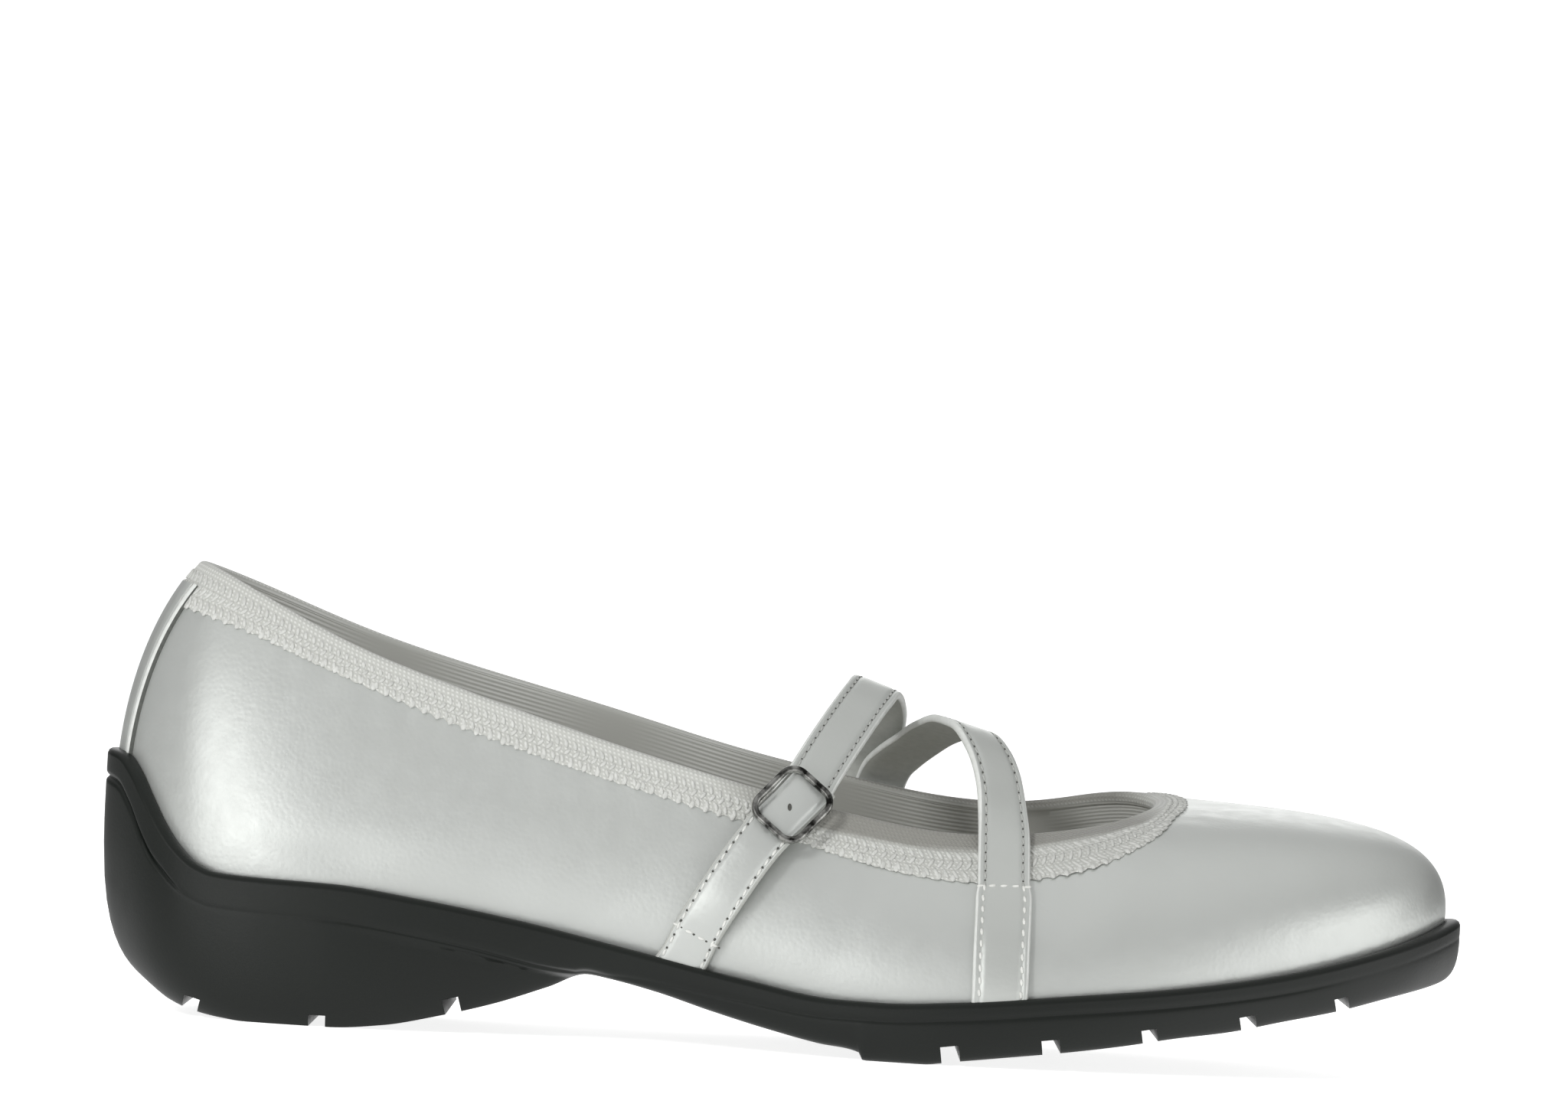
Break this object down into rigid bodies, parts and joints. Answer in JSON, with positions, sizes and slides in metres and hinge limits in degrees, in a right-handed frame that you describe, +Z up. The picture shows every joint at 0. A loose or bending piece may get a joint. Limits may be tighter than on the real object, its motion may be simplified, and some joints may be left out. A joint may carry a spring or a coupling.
{
  "type": "mary jane ballet flat",
  "caption": "Low flat shoe with a hollow leather upper, elastic topline, thin instep straps, a small buckle and a cupped rubber sole with cross lugs.",
  "frame": {"origin": "on the floor, under the middle of the shoe's box", "axes": "+X from heel to toe, +Y to the medial (inner) side, +Z up"},
  "size_m": [0.2546, 0.0872, 0.0842],
  "materials": {
    "black_rubber": "satin moulded rubber",
    "insole_leather": "plain lining leather",
    "silver_leather": "soft metallic silver",
    "elastic_binding": "woven elastic",
    "dark_nickel": "polished dark nickel"
  },
  "bodies": {
    "root": {"outsole": "black_rubber", "insole": "insole_leather", "upper": "silver_leather", "topline_binding": "elastic_binding", "front_strap": "silver_leather", "rear_strap": "silver_leather", "buckle_tab": "silver_leather", "buckle_frame": "dark_nickel"}
  },
  "joints": []
}
